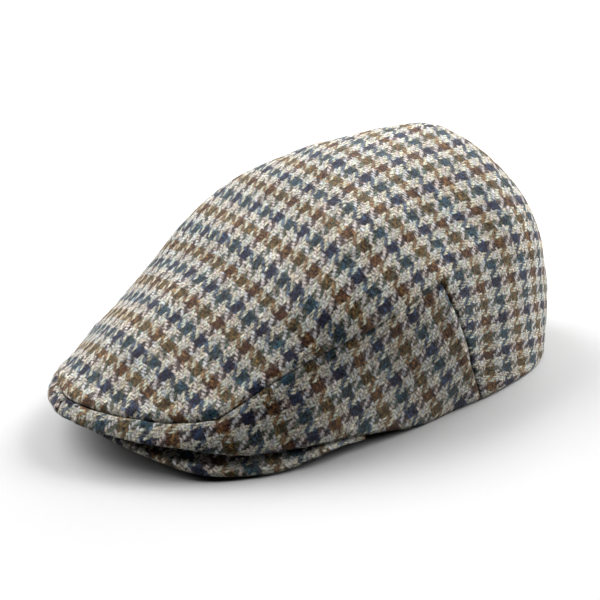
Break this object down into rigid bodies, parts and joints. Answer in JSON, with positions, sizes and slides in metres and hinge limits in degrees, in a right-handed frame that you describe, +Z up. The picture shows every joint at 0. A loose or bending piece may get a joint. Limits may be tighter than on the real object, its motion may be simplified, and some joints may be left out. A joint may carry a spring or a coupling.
{
  "type": "flat cap",
  "caption": "Flat cap of woven houndstooth wool: top panel, side panels that meet over a short stiff peak, and a hem that the cap rests on.",
  "frame": {"origin": "middle of the cap's outer box, on the surface that it rests on", "axes": "+Z up, -Y towards the peak at the front, +X towards the wearer's left"},
  "size_m": [0.1748, 0.2554, 0.1135],
  "materials": {
    "wool_cloth": "brushed wool twill in a houndstooth of grey, navy, brown and olive"
  },
  "bodies": {
    "root": {"crown_top": "wool_cloth", "side_panel_left": "wool_cloth", "side_panel_right": "wool_cloth", "peak": "wool_cloth"}
  },
  "joints": []
}
